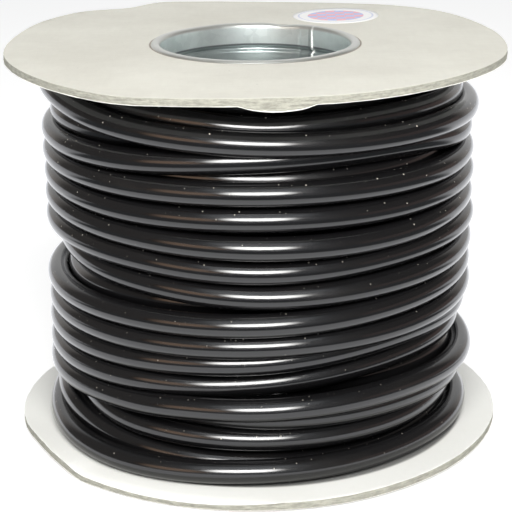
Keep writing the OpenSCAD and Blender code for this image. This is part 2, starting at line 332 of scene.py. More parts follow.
def paper(name, pale, deep, contrast):
    made, tree, shader, place = finish(name, Roughness=0.78, Specular_IOR_Level=0.3)
    spot = place["Object"]
    weave = use_effect(tree, fibres, Vector=spot, Scale=420.0, Contrast=contrast)
    clouds = clamp_range(tree, cloud(tree, spot, 22.0, 5, 0.6), 0.35, 0.70)
    tone = calc(tree, "MULTIPLY_ADD", clouds, 0.45, calc(tree, "SUBTRACT", weave["Tone"], 0.22))
    flecks = use_effect(tree, dust, Vector=spot, Scale=300.0, Size=0.16, Share=0.03)["Mask"]
    base = blend(tree, tone, pale, deep)
    shade = tuple(0.72 * c for c in deep[:3]) + (1,)
    join(tree, blend(tree, times(tree, flecks, 0.5), base, shade), shader["Base Color"])
    join(tree, bump(tree, weave["Height"], 0.00006), shader["Normal"])
    return made


facing_finish = paper("buff_facing_paper", (0.725, 0.718, 0.652, 1), (0.608, 0.594, 0.534, 1), 1.0)
liner_finish = paper("white_liner_paper", (0.955, 0.96, 0.93, 1), (0.915, 0.92, 0.88, 1), 0.8)
print("paper finishes:", facing_finish.name, liner_finish.name)

# %% [markdown]
# ## Darker places on the papers
# Two places on the papers are darker. A thin dark ring lies where the zinc lip bites into the
# facing, and the liners are painted near black wherever cable lies against them, as painted
# shade under the cable. Both depend only on the distance from the axis, so one function
# takes the finished colour off the shader, mixes a darker colour into it by that distance and puts it
# back.

# %% Dark ring by the lip, painted shade under the cable
LIP_EDGE = 41.9 * MM  # where the lip meets the facing
SHADE_INSIDE, SHADE_OUTSIDE = 84.8 * MM, 86.8 * MM  # the painted shade under the cable fades out here


def darken_by_reach(made, mask_of_reach, colour):
    """Darkens a finish by its distance from the axis of the reel."""
    tree = made.node_tree
    base_colour = tree.nodes["Principled BSDF"].inputs["Base Color"]
    plain = base_colour.links[0].from_socket
    spot = put(tree, "ShaderNodeTexCoord").outputs["Object"]
    reach = length_of(tree, stretch(tree, spot, (1, 1, 0)))
    join(tree, blend(tree, mask_of_reach(tree, reach), plain, colour), base_colour)


def dark_ring_by_lip(tree, reach):
    return clamp_range(tree, apart(tree, reach, LIP_EDGE), 0.7 * MM, 0.2 * MM, 0.0, 0.7)


# Painted shade: the liners go near black inside the reach of the cable, where it lies over them.
def shade_under_cable(tree, reach):
    return clamp_range(tree, reach, SHADE_OUTSIDE, SHADE_INSIDE, 0.0, 0.85)


# A thin dark ring on the facing by the lip, and painted shade on the liners under the cable.
darken_by_reach(facing_finish, dark_ring_by_lip, (0.15, 0.11, 0.08, 1))
darken_by_reach(liner_finish, shade_under_cable, (0.09, 0.09, 0.09, 1))
print("darkened from", LIP_EDGE / MM, "mm and inside", SHADE_OUTSIDE / MM, "mm")

# %% [markdown]
# ## Grey board
# The board is pressed from waste pulp. Its cut edge shows the layers of that pulp as fine
# grey lines, so one cloud is squeezed flat along Z. A second, rounder one breaks the lines
# into lumps. The same mix drives the colour and the bump, as the dark parts of a cut edge
# are its hollows.

# %% Finish: grey board
board_finish, tree, shader, place = finish("grey_board", Roughness=0.9, Specular_IOR_Level=0.2)
layers_of_pulp = cloud(tree, stretch(tree, place["Object"], (160, 160, 1500)), 1.0, 5, 0.7)
lumps = cloud(tree, stretch(tree, place["Object"], (420, 420, 900)), 1.0, 4, 0.7)
mixed = calc(tree, "ADD", times(tree, layers_of_pulp, 0.6), times(tree, lumps, 0.4))
tone = clamp_range(tree, mixed, 0.36, 0.64)
join(tree, blend(tree, tone, (0.30, 0.295, 0.256, 1), (0.51, 0.505, 0.436, 1)), shader["Base Color"])
join(tree, bump(tree, mixed, 0.0005), shader["Normal"])
print("board finish:", board_finish.name)

# %% [markdown]
# ## Zinc sheet
# The barrel is zinc-coated sheet: a cool metal with crystals of zinc, drawing marks round
# it and cloudy stains. The coat is aged, so it isn't all metal. Its roughness stays well
# above a quarter everywhere, because a mirror in a narrow bore is hard to render cleanly.

# %% Finish: zinc sheet
zinc_finish, tree, shader, place = finish("zinc_sheet", Metallic=0.68)
spot = place["Object"]
where = coordinates(tree, spot)
crystals = put(tree, "ShaderNodeTexVoronoi", {"Vector": spot, "Scale": 260.0}).outputs["Color"]
shine = put(tree, "ShaderNodeSeparateColor", {0: crystals}).outputs[0]
drawn = cloud(tree, stretch(tree, spot, (30, 30, 420)), 1.0, 4, 0.6)
stains = cloud(tree, spot, 60.0, 5, 0.65)
tone = calc(tree, "ADD", times(tree, shine, 0.25), times(tree, stains, 0.75))
sheet = blend(tree, tone, (0.58, 0.65, 0.64, 1), (0.92, 0.985, 0.975, 1))
roughness = calc(tree, "MULTIPLY_ADD", stains, 0.14, 0.25)
marks = calc(tree, "ADD", times(tree, drawn, 0.5), times(tree, stains, 0.5))
join(tree, bump(tree, marks, 0.0001), shader["Normal"])
print("zinc finish:", zinc_finish.name)

# %% [markdown]
# ## Where the zinc differs
# Four places on the barrel differ, and each has its own mask: the crease by the bead is
# painted dark as shade, the wall deeper down is painted darker as shade, the lip is worn grey,
# and one edge of the lock seam has a painted highlight with a painted shadow beside it.
# Heights are counted from the middle of the reel, so that one mask serves both ends, and the seam is found
# by its angle.

# %% Marks, painted shade and painted highlight on the zinc
SEAM_AT, SEAM_HALF = 55.7, 4.6  # middle of the lock seam from +X, and half of its width, degrees
CREASE = 70.4 * MM  # from the middle of the reel, just past the bead
LIP_STARTS, LIP_FULL = 77.2 * MM, 78.4 * MM  # from the middle of the reel

from_middle = apart(tree, where[2], MIDDLE * MM)
# Painted shade: a dark line along the crease by the bead.
crease = clamp_range(tree, apart(tree, from_middle, CREASE), 0.6 * MM, 0.2 * MM, 0.0, 0.8)
past_crease = calc(tree, "SUBTRACT", from_middle, CREASE)
wall_shade = clamp_range(tree, past_crease, 0.4 * MM, -1.2 * MM, 0.0, 0.68)
on_lip = clamp_range(tree, from_middle, LIP_STARTS, LIP_FULL)
bearing_of = calc(tree, "ARCTAN2", where[1], where[0])
seam_edge = math.radians(SEAM_AT - SEAM_HALF)
# Painted highlight along one edge of the lock seam, with a painted shadow beside it; the highlight mask
# also makes that edge rougher.
seam_highlight_mask = clamp_range(tree, apart(tree, bearing_of, seam_edge), 0.018, 0.008)
shadow = clamp_range(tree, apart(tree, bearing_of, seam_edge + 0.035), 0.02, 0.008, 0.0, 0.4)
broken_seam_highlight = times(tree, seam_highlight_mask, clamp_range(tree, drawn, 0.42, 0.56, 0.25, 0.8))

# Painted shade in the crease and beside the seam, worn grey on the lip, painted shade on the deeper wall,
# painted highlight on the seam edge.
for mask, stain in (
    (calc(tree, "MAXIMUM", crease, shadow), (0.10, 0.11, 0.12, 1)),
    (on_lip, (0.48, 0.485, 0.46, 1)),
    (wall_shade, (0.16, 0.20, 0.20, 1)),
    (broken_seam_highlight, (0.95, 0.97, 0.96, 1)),
):
    sheet = blend(tree, mask, sheet, stain)
join(tree, sheet, shader["Base Color"])
join(tree, calc(tree, "MULTIPLY_ADD", seam_highlight_mask, 0.3, roughness), shader["Roughness"])
print("seam at", SEAM_AT, "degrees, crease", CREASE / MM, "mm from the middle")

# %% [markdown]
# ## Copper and kraft paper
# Copper shows only where the cable is cut, and a slow cloud makes it dull in places. The
# tube that the barrel lines is wound from brown kraft paper, which has the same fibres as
# the other papers with more contrast.

# %% Finishes: copper and kraft
copper_finish, tree, shader, place = finish("copper_wire", Metallic=1.0, Roughness=0.28)
dull = cloud(tree, place["Object"], 900.0, 3)
join(tree, blend(tree, dull, (0.93, 0.48, 0.28, 1), (0.66, 0.29, 0.15, 1)), shader["Base Color"])
join(tree, bump(tree, dull, 0.00003), shader["Normal"])

kraft_finish, tree, shader, place = finish("kraft_tube", Roughness=0.85)
weave = use_effect(tree, fibres, Vector=place["Object"], Scale=350.0, Contrast=1.4)
brown = blend(tree, weave["Tone"], (0.34, 0.22, 0.12, 1), (0.46, 0.33, 0.20, 1))
join(tree, brown, shader["Base Color"])
join(tree, bump(tree, weave["Height"], 0.0001), shader["Normal"])
print("inner finishes:", copper_finish.name, kraft_finish.name)

# %% [markdown]
# ## How the outer layer of cable lies
# A machine lays each loop level and steps it down one pitch at the back. It is never
# perfect: some turns sink into the groove below them and others ride up. Each row gives a
# turn's height at five places, from the left over the front to the right, and how deep it
# lies there below the outside of the layer. Rows listed like these keep the look of
# real winding, while the rest of the path is worked out by rule.

# %% Rows of the outer layer
CABLE_D = 9.2 * MM
OUTER = 82.4  # radius of the middle of the cable in the outer layer, in mm
LEAN = (-1.0, -0.8, 0.0, 0.5, 0.8)  # the layer stands out a little more to the right

# heights at the five places, depths at the five places (mm)
outer_rows = [
    ((149.5, 144.4, 140.9, 142, 140.8), (8, 7, 6.6, 4.8, 5.2)),
    ((146, 140, 136.8, 135.2, 134.4), (-1, -1, -1, -1, -1)),
    ((126.8, 127.2, 129.2, 129.8, 126.6), (0, 0, 4.2, 4.5, 1.6)),
    ((117.6, 117.6, 118.3, 118, 116.7), (0, 0, -0.8, -1, 0)),
    ((109, 108, 108.4, 108.4, 108.8), (0.5, 0.5, 0, -0.5, -0.2)),
    ((100.2, 98.8, 98, 98.4, 100.4), (0.4, 0.8, -1.5, -1.5, 0)),
    ((90.9, 90, 88, 89.6, 90.8), (0.4, 1.2, 1, 0.6, -0.6)),
    ((82, 80.6, 78.3, 80.2, 80.4), (5.8, 3.2, 1.2, -1.5, 0)),
    ((66.4, 67.3, 68.2, 70.8, 71.6), (-0.4, -1.5, -1.5, -1.2, 0.4)),
    ((57, 58.2, 59.8, 61.2, 62.2), (0.2, -1, 0, -0.8, 0.2)),
    ((47.8, 50, 51.2, 54.4, 54.4), (0, 0.4, 5, 5.5, 2.6)),
    ((38.2, 40, 41.4, 44.8, 45.6), (0, 1.4, 9, 8.5, 5.6)),
    ((29.8, 32.8, 34.2, 36, 34.2), (-0.4, 0.4, -0.6, -1.5, -1.3)),
    ((23.6, 21.4, 19.7, 19.6, 18.5), (8, 4, 6.1, 5.9, 7.1)),
    ((8.8, 8.8, 9.6, 9.2, 9.2), (-2, -5, -1.2, 2, 1.6)),
]
print("outer rows:", len(outer_rows))

# %% [markdown]
# ## How the layer below lies
# The layer below is seen wherever the outer turns part. Its rows give the height, and how
# far a turn may press out past its layer. The lowest one climbs towards the left, where the
# outer turns over it have moved apart. Where an outer turn lies over a buried one, the
# buried one sits as high as that lets it, which is a matter of two touching circles.

# %% Rows of the layer below
UNDER = 73.6  # radius of the middle of the cable in the layer below, in mm

# heights at the five places, how far the turn may press out there (mm)
under_rows = [
    ((143, 147.4, 149.6, 149.6, 149.6), (-6, -5, -1.6, -0.6, 0)),
    ((134.5, 134, 136, 131.6, 130.4), (4.6, 4, 0, 0, 0)),
    ((122.2, 122.4, 121, 121.3, 120.5), (0, 0.4, 1, 1.9, 1.4)),
    ((113.7, 113, 113.3, 113.4, 113.6), (0, 0, 0, 0, 0)),
    ((104.7, 103.4, 103.2, 103.6, 105), (0, 0, 0, 0, 0)),
    ((95.4, 94.4, 93, 94, 95.8), (0, 0, 0, 0, 0)),
    ((86.3, 85.2, 83.2, 85, 86), (0, 0, 0, 0, 0)),
    ((69.8, 71.8, 73.8, 75.6, 76.4), (2.5, 1, 0, 0, 0)),
    ((60.8, 63.8, 64.2, 66, 67.3), (0, 0, 0, 0, 0)),
    ((52.3, 54.6, 55.4, 57.5, 58.1), (0, 0, 0, 0, 0)),
    ((43, 45.4, 46.3, 48.3, 49.3), (0, 0, 0, 0, 0)),
    ((33.8, 36.2, 37.8, 37.4, 36.8), (0, 0, 0, -3.5, 4.4)),
    ((27, 28.4, 28.6, 28.5, 26.6), (0, 0.8, 3.1, 5.8, 6.6)),
    ((16, 15.5, 16.2, 16.2, 12.5), (-4, -3.6, 0, 0, 0)),
    ((17.2, 12.4, 9, 8.8, 8.8), (5.8, 4.5, 1, 0, 0)),
]


def outer_radius(row, k):
    return OUTER + LEAN[k] - row[1][k]


def buried_radius(row, k):
    """How far out a buried turn lies at place k, under the outer turns."""
    wanted = UNDER + row[1][k]
    radius = wanted
    for over in outer_rows:
        rise, top = abs(row[0][k] - over[0][k]), outer_radius(over, k)
        squeezed = math.hypot(rise, top - wanted) < 0.9 * CABLE_D / MM
        if squeezed and top > wanted - 3:
            radius = min(radius, top - math.sqrt(max(0, (CABLE_D / MM) ** 2 - rise**2)))
    return radius


print("rows below:", len(under_rows), "the first lies at", round(buried_radius(under_rows[0], 2), 1), "mm")

# %% [markdown]
# ## Turning rows into one path
# Both layers are one cable. It winds up the drum in the lower layer, climbs out beside the
# upper flange, and winds down again outside. Angles run from the back, anticlockwise
# seen from above, so the left is at 90 degrees and the front at 180. Each loop has
# nails at its five places and at the back, and a smooth line runs through them all. The
# last loop eases into the place where the solid of the cut end starts.

# %% Path of the cable
PLACES = (105.0, 140.0, 180.0, 220.0, 255.0)
STEP = 3.0  # degrees between points
START, LAST = 26.0, 294.0  # the outer layer starts here, and ends here in its last loop
BACK_OUTER, BACK_UNDER = 83.2, 73.4  # radius at the back, where every turn is level
END_Z, END_R = 8.95, 82.26  # height and radius of the cut end

loops = [(r[0], [buried_radius(r, k) for k in range(5)], BACK_UNDER) for r in reversed(under_rows)]
loops += [(r[0], [outer_radius(r, k) for k in range(5)], BACK_OUTER) for r in outer_rows]
heights, radii = [], []
for i, (z, r, back) in enumerate(loops):
    turn_start = 360.0 * i
    heights += [(turn_start + at, z[k]) for k, at in enumerate(PLACES)]
    radii += [(turn_start + at, r[k]) for k, at in enumerate(PLACES)]
    if i + 1 < len(loops):
        after = loops[i + 1][0][0]
        heights += [(turn_start + 300, z[4]), (turn_start + 360, (z[4] + after) / 2)]
        heights += [(turn_start + 420, after)]
        radii += [(turn_start + 305, back - 0.6), (turn_start + 360, back)]
        radii += [(turn_start + 415, back - 0.6)]
last_loop = 360.0 * (len(loops) - 1)
angles = np.arange(60.0, last_loop + LAST + 0.1, STEP)
height = smooth_through(heights, angles)
radius = smooth_through(radii, angles)

last_nail = last_loop + PLACES[-1]
share = np.clip((angles - last_nail) / (LAST - PLACES[-1]), 0, 1)
share = share * share * (3 - 2 * share)
height = np.where(angles > last_nail, heights[-1][1] + (END_Z - heights[-1][1]) * share, height)
radius = np.where(angles > last_nail, radii[-1][1] + (END_R - radii[-1][1]) * share, radius)
print("loops laid:", len(loops), "path points:", len(angles))

# %% [markdown]
# ## Letting the turns settle
# Listed rows can squeeze two turns into one place. Real turns push each other aside,
# so at every angle the cuts through the cable are treated as discs, and any two that
# overlap are moved apart by half of the overlap, a little at a time. The walls of the
# flanges stay where they are. Each push is spread along the cable, which is too stiff to
# bend sharply.

# %% Settle the turns
TOUCH = 8.9  # least distance between turns, as soft sheaths give a little where they press
FROM_WALL = 4.7  # middle of the cable to a flange, at least
per_turn = int(360 / STEP)
whole = math.ceil(len(angles) / per_turn)
spare = whole * per_turn - len(angles)
ease = np.array([1, 2, 3, 4, 3, 2, 1]) / 16


def by_turn(values):
    """The values of the path as rows of one turn each, so that one column is one angle."""
    return np.pad(values, (0, spare), constant_values=np.nan).reshape(whole, per_turn)


def between_turns():
    """Differences in height and radius of any two turns at each angle, and their distance."""
    z, r = by_turn(height), by_turn(radius)
    dz, dr = z[:, None] - z[None], r[:, None] - r[None]
    return dz, dr, np.sqrt(dz**2 + dr**2) + np.eye(whole)[:, :, None] * 99


def moved(push, way):
    """Sum of the pushes on each turn, spread along the cable so that it stays smooth."""
    pushed = np.nan_to_num(push * way).sum(1).reshape(-1)[: len(angles)]
    return np.convolve(pushed, ease, "same")


for _ in range(80):
    dz, dr, gap = between_turns()
    push = 0.3 * np.nan_to_num(np.where(gap < TOUCH, (TOUCH - gap) / gap, 0.0))
    height, radius = height + moved(push, dz), radius + moved(push, dr)
    height = np.clip(height, LOWER_INNER + FROM_WALL, UPPER_INNER - FROM_WALL)
print("closest turns, middle to middle, mm:", round(float(np.nanmin(between_turns()[2])), 2))

# %% [markdown]
# ## Cutting the path in two
# The settled path is turned from angle, radius and height into points, and divided where
# the cable climbs into the outer layer. The two stretches share that point, so no gap
# shows. The outer one goes on straight for one diameter, to where the sheath is cut.

# %% Outer and lower path
turned = np.radians(angles)
path = np.stack([-radius * np.sin(turned), radius * np.cos(turned), height], 1) * MM
is_outer = angles >= 360.0 * len(under_rows) + START - 1.0
tail_way = np.array([-math.cos(math.radians(LAST)), -math.sin(math.radians(LAST)), 0.0])
tail = path[-1] + tail_way * CABLE_D * np.array([[0.5], [1.0]])
outer_path = np.vstack([path[is_outer], tail])
under_path = np.vstack([path[~is_outer], outer_path[:1]])
cable_length = float(np.linalg.norm(np.diff(outer_path, axis=0), axis=1).sum())
print("outer layer holds", round(cable_length, 2), "m of cable")

# %% [markdown]
# ## Growing a mesh from a chain of points
# Geometry Nodes suit what follows a path. `new_tree` opens a tree with named inputs,
# `close_tree` ends it in real geometry with a material, and `grow` runs it on a chain of
# points. A chain is a mesh of points and edges, which the tree turns into a curve. The
# result is kept as a plain mesh, and the modifier is taken off again.

# %% Helpers for geometry trees


def new_tree(name, inputs):
    tree = bpy.data.node_groups.new(name, "GeometryNodeTree")
    tree.interface.new_socket("Geometry", in_out="INPUT", socket_type="NodeSocketGeometry")
    for label, kind in inputs:
        tree.interface.new_socket(label, in_out="INPUT", socket_type=kind)
    tree.interface.new_socket("Geometry", in_out="OUTPUT", socket_type="NodeSocketGeometry")
    return tree, put(tree, "NodeGroupInput").outputs, put(tree, "NodeGroupOutput").inputs


def close_tree(tree, geometry, material, result):
    real = put(tree, "GeometryNodeRealizeInstances", {0: geometry})
    faced = put(tree, "GeometryNodeSetMaterial", {0: real.outputs[0], "Material": material})
    join(tree, faced.outputs[0], result[0])


def grow(name, tree, start_points, **values):
    """Runs a tree on a chain of points and keeps the result as a plain mesh."""
    chain = bpy.data.meshes.new(name + "_chain")
    edges = [(i, i + 1) for i in range(len(start_points) - 1)]
    chain.from_pydata([tuple(p) for p in start_points], edges, [])
    carrier = bpy.data.objects.new(name + "_chain", chain)
    bpy.context.scene.collection.objects.link(carrier)
    modifier = carrier.modifiers.new("tree", "NODES")
    modifier.node_group = tree
    for socket in tree.interface.items_tree:
        if socket.in_out == "INPUT" and socket.name in values:
            modifier[socket.identifier] = values[socket.name]
    shot = bpy.context.evaluated_depsgraph_get()
    grown = carrier.evaluated_get(shot)
    mesh = bpy.data.meshes.new_from_object(grown, preserve_all_data_layers=True, depsgraph=shot)
    carrier.modifiers.remove(modifier)
    bpy.data.objects.remove(carrier)
    mesh.name = name
    piece = bpy.data.objects.new(name, mesh)
    bpy.context.scene.collection.objects.link(piece)
    print(name, "has", sum(len(p.vertices) - 2 for p in mesh.polygons), "triangles")
    return piece


# %% [markdown]
# ## A tree that sweeps a round cable along a path
# The profile is an arc of a full circle that is left open, so the UV runs from 0 to 1
# round the cable and never jumps back; the two edges of the seam are merged after the UV
# is stored on the corners. Lengths along the cable are kept in metres, so the pattern has
# the same size on every loop.

# %% Tree: sweep a cable
MATERIAL, INTEGER = "NodeSocketMaterial", "NodeSocketInt"
sweep, given, result = new_tree(
    "sweep_cable", [("Diameter", FLOAT), ("Sides", INTEGER), ("Finish", MATERIAL)]
)


def captured(geometry, name, value):
    """Keeps a value on the points of a curve, as an attribute that the next nodes can read."""
    node = put(sweep, "GeometryNodeCaptureAttribute", {0: geometry})
    node.capture_items.new("FLOAT", name)
    join(sweep, put(sweep, "GeometryNodeSplineParameter").outputs[value], node.inputs[1])
    return node.outputs


line = put(sweep, "GeometryNodeMeshToCurve", {0: given["Geometry"]})
level = put(sweep, "GeometryNodeSetCurveNormal", {0: line.outputs[0]}, mode="Z_UP")
way, length = captured(level.outputs[0], "length", "Length")[:2]
half = calc(sweep, "MULTIPLY", given["Diameter"], 0.5)
corners = calc(sweep, "ADD", given["Sides"], 1)
arc = {"Resolution": corners, "Radius": half, "Start Angle": 0.0, "Sweep Angle": math.tau}
ring = put(sweep, "GeometryNodeCurveArc", arc)
outline, round_it = captured(ring.outputs[0], "round", "Factor")[:2]
tube = put(sweep, "GeometryNodeCurveToMesh", {0: way, "Profile Curve": outline})
lay = put(sweep, "ShaderNodeCombineXYZ", {0: length, 1: round_it})
uv_of = {0: tube.outputs[0], "Name": "UVMap", "Value": lay.outputs[0]}
mapped = put(sweep, "GeometryNodeStoreNamedAttribute", uv_of, data_type="FLOAT2", domain="CORNER")
welded = put(sweep, "GeometryNodeMergeByDistance", {0: mapped.outputs[0], "Distance": 1e-6})
smooth = put(sweep, "GeometryNodeSetShadeSmooth", {0: welded.outputs[0]})
close_tree(sweep, smooth.outputs[0], given["Finish"], result)
print("sweeping tree has", len(sweep.nodes), "nodes")

# %% [markdown]
# ## The wound cable
# The outer layer and the layer below are swept by the same tree with the same finish. The
# outer one has more sides, because its outline and highlights are what one sees. The end
# of a swept tube is open, so its ring is closed with one face, as a clean cut would be.

# %% Outer layer and the layer below


def close_ends(piece):
    """Fills the open rings of a tube, with faces that point along it."""
    shape = bmesh.new()
    shape.from_mesh(piece.data)
    rims = [e for e in shape.edges if e.is_boundary]
    bmesh.ops.holes_fill(shape, edges=rims, sides=0)
    bmesh.ops.recalc_face_normals(shape, faces=shape.faces)
    shape.to_mesh(piece.data)
    shape.free()
    return len(rims)


outer_cable = grow("outer_cable", sweep, outer_path, Diameter=CABLE_D, Sides=30, Finish=sheath_finish)
under_cable = grow("under_cable", sweep, under_path, Diameter=CABLE_D, Sides=20, Finish=sheath_finish)
for piece in (outer_cable, under_cable):
    print(piece.name, "ring edges closed:", close_ends(piece))

# %% [markdown]
# ## The deep layers
# Three more layers fill the drum down to its tube. Nothing shows of them, but the part is
# also taken apart and looked at in section, so they are real coils too, swept by the same
# tree with few sides. Each is a plain helix, shifted by half a pitch from the one over it,
# so that its turns lie in the grooves between the others.

# %% Deep layers
DEEP_RADII = (64.6, 56.1, 47.6)
DEEP_TURNS, DEEP_RISE, DEEP_START = 14.5, 140.2, 9.1  # the last two in mm
deep_coils = []
for number, deep_radius in enumerate(DEEP_RADII):
    at = np.radians(np.arange(0, 360 * DEEP_TURNS, 5.0))
    rise = DEEP_START + DEEP_RISE * at / (math.tau * DEEP_TURNS)
    way = 1
    if number % 2:
        rise = REEL_HEIGHT - rise
        way = -1
    coil = np.stack([-deep_radius * np.sin(at * way), deep_radius * np.cos(at * way), rise], 1) * MM
    sizes = dict(Diameter=CABLE_D * 0.98, Sides=12, Finish=sheath_finish)
    deep_coils.append(grow(f"deep_coil_{number + 1}", sweep, coil, **sizes))
    close_ends(deep_coils[-1])

# %% [markdown]
# ## The cut end: sheath
# The cable ends low at the back on the right, where its copper shows. The sheath there is a
# short tube with a softened cut edge. It is turned from its outline, as on a lathe, and
# laid out along the last stretch of the path. Its UV goes on from the end of the cable,
# so the lines of the die run through.

# %% Sheath of the cut end
END_LENGTH = 22 * MM
UV_START = 7.6  # metres of cable before the cut end
sides = 48
# radius and distance along the cable (mm), round the wall of the tube
outline = [(3.2, 0), (4.3, 0), (4.6, 0.05), (4.6, 20), (4.59, 21.4), (4.45, 21.85), (4.15, 22),
           (3.5, 22), (3.2, 21.7), (3.2, 11)]
end_at = Vector(outer_path[-1])
end_way = Vector(tail_way).normalized()
end_turn = Matrix.Translation(end_at) @ end_way.to_track_quat("Z", "Y").to_matrix().to_4x4()
points = [end_turn @ (Vector((r * math.cos(a), r * math.sin(a), h)) * MM)
          for a in np.linspace(0, math.tau, sides, endpoint=False) for r, h in outline]
count = len(outline)
faces = []
for s in range(sides):
    a, b = s * count, ((s + 1) % sides) * count
    faces += [(a + k, b + k, b + (k + 1) % count, a + (k + 1) % count) for k in range(count)]
cut_sheath = new_piece("cut_sheath_end", points, faces, sheath_finish)
uv = cut_sheath.data.uv_layers.new(name="UVMap")
for face in cut_sheath.data.polygons:
    crosses_seam = any(v // count == sides - 1 for v in face.vertices)
    for corner, vertex in zip(face.loop_indices, face.vertices):
        s, k = divmod(vertex, count)
        wrap = 1.0 if s == 0 and crosses_seam else 0.0
        uv.data[corner].uv = (UV_START + outline[k][1] * MM, s / sides + wrap)
print("cut end lies at", [round(c / MM, 1) for c in end_at], "mm")

# %% [markdown]
# ## The cut end: copper
# The conductor is nineteen wires twisted together: one in the middle, six round it and
# twelve round those. A small ring stands at each of these places, and the set of rings is
# one profile. It is swept along the middle line of the cable, whose tilt grows along the
# way and so gives the twist.

# %% Copper wires
twist, given, result = new_tree(
    "twist_wires", [("Wire", FLOAT), ("Pitch", FLOAT), ("Turns", FLOAT), ("Finish", MATERIAL)]
)
line = put(twist, "GeometryNodeMeshToCurve", {0: given["Geometry"]})
along = put(twist, "GeometryNodeSplineParameter").outputs["Factor"]
tilt = times(twist, along, given["Turns"], math.tau)
tilted = put(twist, "GeometryNodeSetCurveTilt", {0: line.outputs[0], "Tilt": tilt})
places = put(twist, "GeometryNodeJoinGeometry")
for wires, rings_away in ((6, 1.0), (12, 1.93)):
    ring = {"Resolution": wires, "Radius": times(twist, given["Pitch"], rings_away)}
    circle = put(twist, "GeometryNodeCurvePrimitiveCircle", ring)
    spread = put(twist, "GeometryNodeCurveToPoints", {0: circle.outputs[0]}, mode="EVALUATED")
    join(twist, spread.outputs[0], places.inputs[0])
middle = put(twist, "GeometryNodePoints", {"Count": 1})
join(twist, middle.outputs[0], places.inputs[0])
wire = put(twist, "GeometryNodeCurvePrimitiveCircle", {"Resolution": 10, "Radius": given["Wire"]})
each = put(twist, "GeometryNodeInstanceOnPoints", {0: places.outputs[0], "Instance": wire.outputs[0]})
profile = put(twist, "GeometryNodeRealizeInstances", {0: each.outputs[0]})
swept = {0: tilted.outputs[0], "Profile Curve": profile.outputs[0], "Fill Caps": True}
bundle = put(twist, "GeometryNodeCurveToMesh", swept)
close_tree(twist, bundle.outputs[0], given["Finish"], result)
wire_line = [end_at + end_way * (END_LENGTH * s) for s in np.linspace(0.02, 0.985, 24)]
wire_sizes = dict(Wire=0.61 * MM, Pitch=1.265 * MM, Turns=0.45)
copper_wires = grow("copper_wires", twist, wire_line, Finish=copper_finish, **wire_sizes)

# %% [markdown]
# ## The warp of the flanges
# A flange is a disc of grey board between two papers. It has warped a little in use, so
# its rim rises in some places and droops in others, and its cut edge isn't quite round.
# Both are given as a few nails round the rim. Near the barrel the board is held flat, and
# the warp grows from there to the rim.

# %% Nails round the rims
# degrees from +X, mm up from flat
upper_lift = [
    (-165, -0.2), (-149, -0.5), (-134, -1.2), (-120, -1.65), (-107, -0.7), (-92, 0.0), (-70, 0.0),
    (-48, 0.3), (-30, 0.3), (-10, 0.0), (17, 0.3), (42, 0.82), (55, 0.8), (67, 0.2), (89, 0.0),
    (104, 0.6), (114, 0.8), (124, 0.3), (132, 0.72), (146, 0.76), (160, 0.55), (176, 0.1),
]
lower_lift = [
    (-167, 0.9), (-154, 2.2), (-145, 1.6), (-140, 0.8), (-135, -0.4), (-128, -0.2), (-116, -0.3),
    (-104, -0.2), (-91, 0.2), (-75, 0.3), (-57, 0.9), (-41, 1.2), (-23, 1.1), (-5, 0.3), (30, 0.4),
    (80, 0.0), (120, 0.5), (160, 0.2),
]
# degrees from +X, radius of the rim in mm
upper_edge = [
    (-165, 99.4), (-120, 99.5), (-60, 99.2), (-38, 98.9), (-20, 99.4), (0, 99.4), (17, 100.6),
    (42, 103.5), (55, 101.6), (67, 100), (89, 99.4), (104, 101), (114, 104), (124, 101.0),
    (137, 104.2), (150, 103), (165, 100),
]
lower_edge = [
    (-167, 98.8), (-154, 98), (-145, 98.6), (-137, 99.3), (-116, 99), (-91, 99.4), (-41, 99.2),
    (-23, 99), (-5, 99.4), (90, 99.4), (150, 99.4),
]


def warp_share(radius, held):
    """How much of the rim's lift reaches this radius: none inside `held`, all of it at 100 mm."""
    return max(0.0, (radius - held) / (100 - held)) ** 1.6


print("upper rim lifts by", max(v for _, v in upper_lift), "and droops by", -min(v for _, v in upper_lift))

# %% [markdown]
# ## Torn and pressed plies
# Board is pressed from thin plies. At the front of the upper flange the lower plies are
# torn and hang down like a lip, and at the front of the lower flange the upper ones have
# been crushed. Both are smooth dips along the rim that fade out a few millimetres in. How
# far a point sinks depends on its place in the thickness, so the other face stays true.

# %% Torn and pressed plies
SOUND_ABOVE, TORN_DEPTH = 156.5, 1.9  # plies above this level are whole (mm)


def dip(angle, middle, half, depth):
    """A dip along the rim: `depth` mm in the middle, nothing past `half` degrees."""
    off = (angle - middle) / half
    return depth * max(0.0, 1 - off * off) ** 0.8


def torn(angle, z):
    share = min(1.0, max(0.0, (SOUND_ABOVE - z) / TORN_DEPTH))
    return dip(angle, -85.9, 7.6, 2.2) * share


def pressed(angle, z):
    share = (z - LOWER_FACE) / (LOWER_INNER - LOWER_FACE)
    return dip(angle, -113, 27, 1.1) * share


print("deepest tear", torn(-85.9, UPPER_INNER), "mm, deepest press", pressed(-113, LOWER_INNER), "mm")

# %% [markdown]
# ## Building a sheet that follows the warp
# Board and papers use one builder. It walks round the hub hole, out along one face, over
# the cut edge and back along the other face, and repeats that outline at each angle. The
# cut edge gets several rows of points and some fine noise, because sawn board is never
# sharp. The two levels of each ply are read from its solid in model.glb.

# %% Builder for boards and papers
HUB = 38.78  # radius of the hole in a flange, in mm
SPANS = (HUB, 44, 52, 60, 68, 76, 82, 87, 91, 94.5, 97.2, 98.8)  # radii with a ring of points


def rim_noise(angle, seed, scale):
    at = math.radians(angle)
    return noise.noise(Vector((math.cos(at) * scale, math.sin(at) * scale, seed)))


